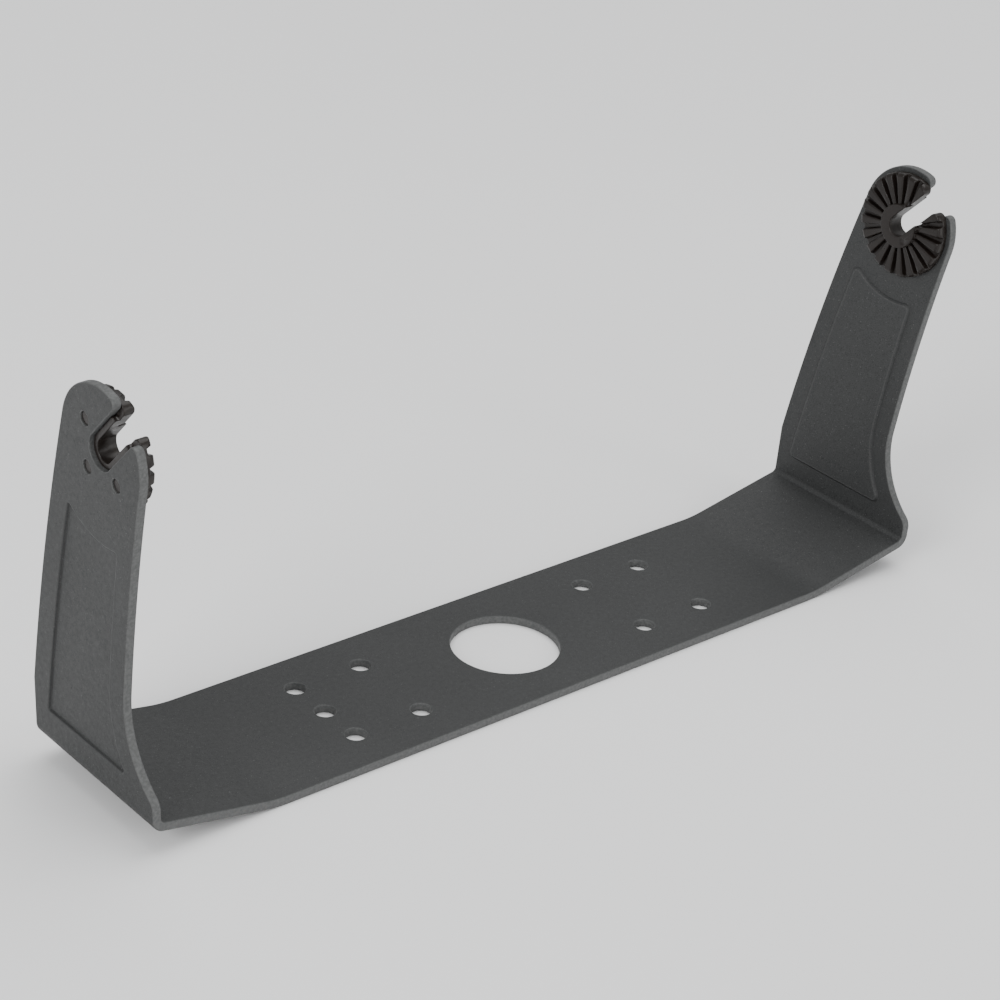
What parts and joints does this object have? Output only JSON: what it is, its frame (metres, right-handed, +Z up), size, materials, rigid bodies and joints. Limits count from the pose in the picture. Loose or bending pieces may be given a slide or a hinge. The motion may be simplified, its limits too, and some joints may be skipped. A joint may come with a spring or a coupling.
{
  "type": "chartplotter gimbal bracket",
  "caption": "U-shaped bent-sheet gimbal bracket with a drilled base strap, a central cable hole, and splayed arms whose open slots carry toothed plastic tilt discs.",
  "frame": {"origin": "centre of the cable hole, on the underside of the base strap", "axes": "+X along the strap towards the right-hand arm, +Z up out of the console; -Y is the front, where the arm slots open"},
  "size_m": [0.3326, 0.065, 0.1449],
  "materials": {
    "powder_coat": "fine-textured matt powder coat, dark slate grey",
    "disc_plastic": "satin moulded plastic, brown-black"
  },
  "bodies": {
    "root": {"bracket": "powder_coat", "ratchet_disc_left": "disc_plastic", "ratchet_disc_right": "disc_plastic"}
  },
  "joints": []
}
